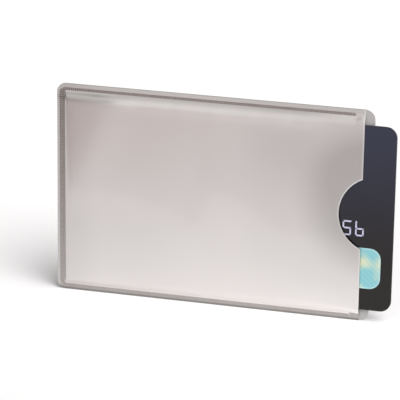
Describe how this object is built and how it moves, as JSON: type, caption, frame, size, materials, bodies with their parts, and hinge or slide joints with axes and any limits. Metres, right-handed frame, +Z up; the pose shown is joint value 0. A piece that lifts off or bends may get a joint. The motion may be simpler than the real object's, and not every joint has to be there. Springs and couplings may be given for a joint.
{
  "type": "rfid card sleeve",
  "caption": "Flat silver film sleeve with welded edges, shielding foil and a thumb notch at its open end, holding a contactless card that slides along it.",
  "frame": {"origin": "middle of the footprint, card included, on the surface that the sleeve stands on with its long edge", "axes": "+X along the sleeve from its closed end to its open end, -Y out of the front face with the thumb notch, +Z up the sleeve's height"},
  "size_m": [0.098, 0.0024, 0.0618],
  "materials": {
    "silver_film": "satin metallised film",
    "shield_foil": "bright rolled foil",
    "liner_film": "smooth grey film",
    "weld": "melted film",
    "card_print": "gloss laminated dark print",
    "card_core": "plastic sheet",
    "inlay_sheet": "plastic sheet",
    "antenna_metal": "etched track",
    "chip_resin": "moulded resin",
    "contact_gold": "gold plated",
    "stripe_brown": "magnetic coating",
    "signature_white": "matt writable coating",
    "foil_teal": "hot-stamped foil",
    "digit_silver": "silver tipped embossing"
  },
  "bodies": {
    "sleeve": {"front_outer_film": "silver_film", "front_shield_foil": "shield_foil", "front_inner_liner": "liner_film", "back_inner_liner": "liner_film", "back_shield_foil": "shield_foil", "back_outer_film": "silver_film", "top_weld": "weld", "end_weld": "weld", "bottom_weld": "weld"},
    "card": {"card_front_overlay": "card_print", "card_front_core": "card_core", "card_inlay": "inlay_sheet", "card_back_core": "card_core", "card_back_overlay": "card_print", "antenna_coil": "antenna_metal", "chip_module": "chip_resin", "contact_pads": "contact_gold", "magnetic_stripe": "stripe_brown", "signature_panel": "signature_white", "foil_patch": "foil_teal", "embossed_digits": "digit_silver"}
  },
  "joints": [
    {"name": "card_slide", "type": "slide", "parent": "sleeve", "child": "card", "axis": [1, 0, 0], "range_m": [-0.0096, 0.0822]}
  ]
}
